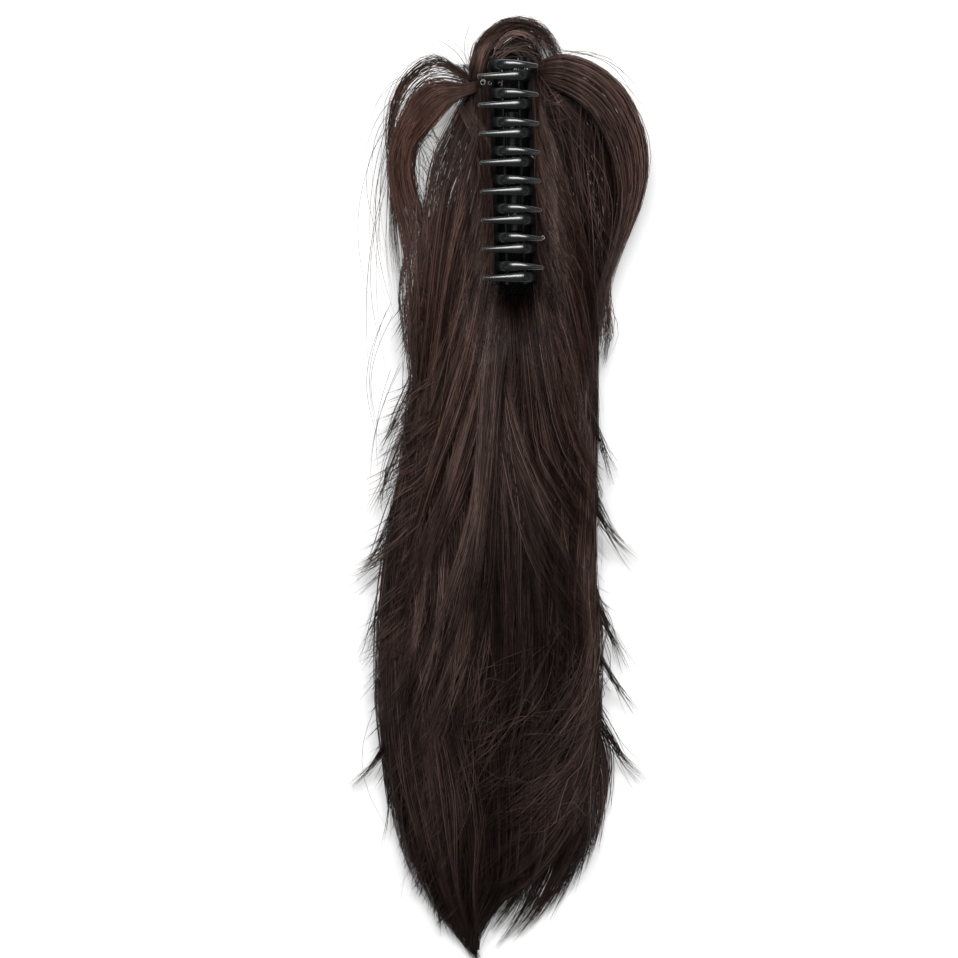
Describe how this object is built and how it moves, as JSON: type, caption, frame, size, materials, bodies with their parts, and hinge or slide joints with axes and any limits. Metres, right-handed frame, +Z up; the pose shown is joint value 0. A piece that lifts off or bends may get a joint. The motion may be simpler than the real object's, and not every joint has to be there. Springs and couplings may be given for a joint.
{
  "type": "ponytail hairpiece",
  "caption": "Long ponytail hairpiece of layered dark hair, sewn to a net on a sprung claw clip whose curved teeth cross, lying flat with the teeth up.",
  "frame": {"origin": "on the surface that the hair lies on, under the middle of the claw clip", "axes": "+Z up, out of the clip's teeth; +Y along the clip, away from the tail's tip; +X to the side of the large loop"},
  "size_m": [0.1335, 0.4135, 0.048],
  "materials": {
    "plastic": "black moulded plastic with a bright polish",
    "steel": "plain spring wire and pin",
    "net": "dark sewn net",
    "hair": "near-black brown synthetic hair with a soft sheen"
  },
  "bodies": {
    "hairpiece": {"hair_tail": "hair", "hair_loop_right": "hair", "hair_loop_top": "hair", "hair_loop_left": "hair", "net_base": "net", "hinge_pin": "steel", "spring": "steel"},
    "left_jaw": {"jaw_left": "plastic"},
    "right_jaw": {"jaw_right": "plastic"}
  },
  "joints": [
    {"name": "right_jaw_hinge", "type": "hinge", "parent": "hairpiece", "child": "right_jaw", "pos_m": [0, 0, 0.023], "axis": [0, 1, 0], "range_deg": [0, 42], "stiffness_Nm_per_rad": 0.12, "springref_deg": -20.05},
    {"name": "left_jaw_hinge", "type": "hinge", "parent": "hairpiece", "child": "left_jaw", "pos_m": [0, 0, 0.023], "axis": [0, -1, 0], "range_deg": [0, 42], "stiffness_Nm_per_rad": 0.12, "springref_deg": -20.05}
  ]
}
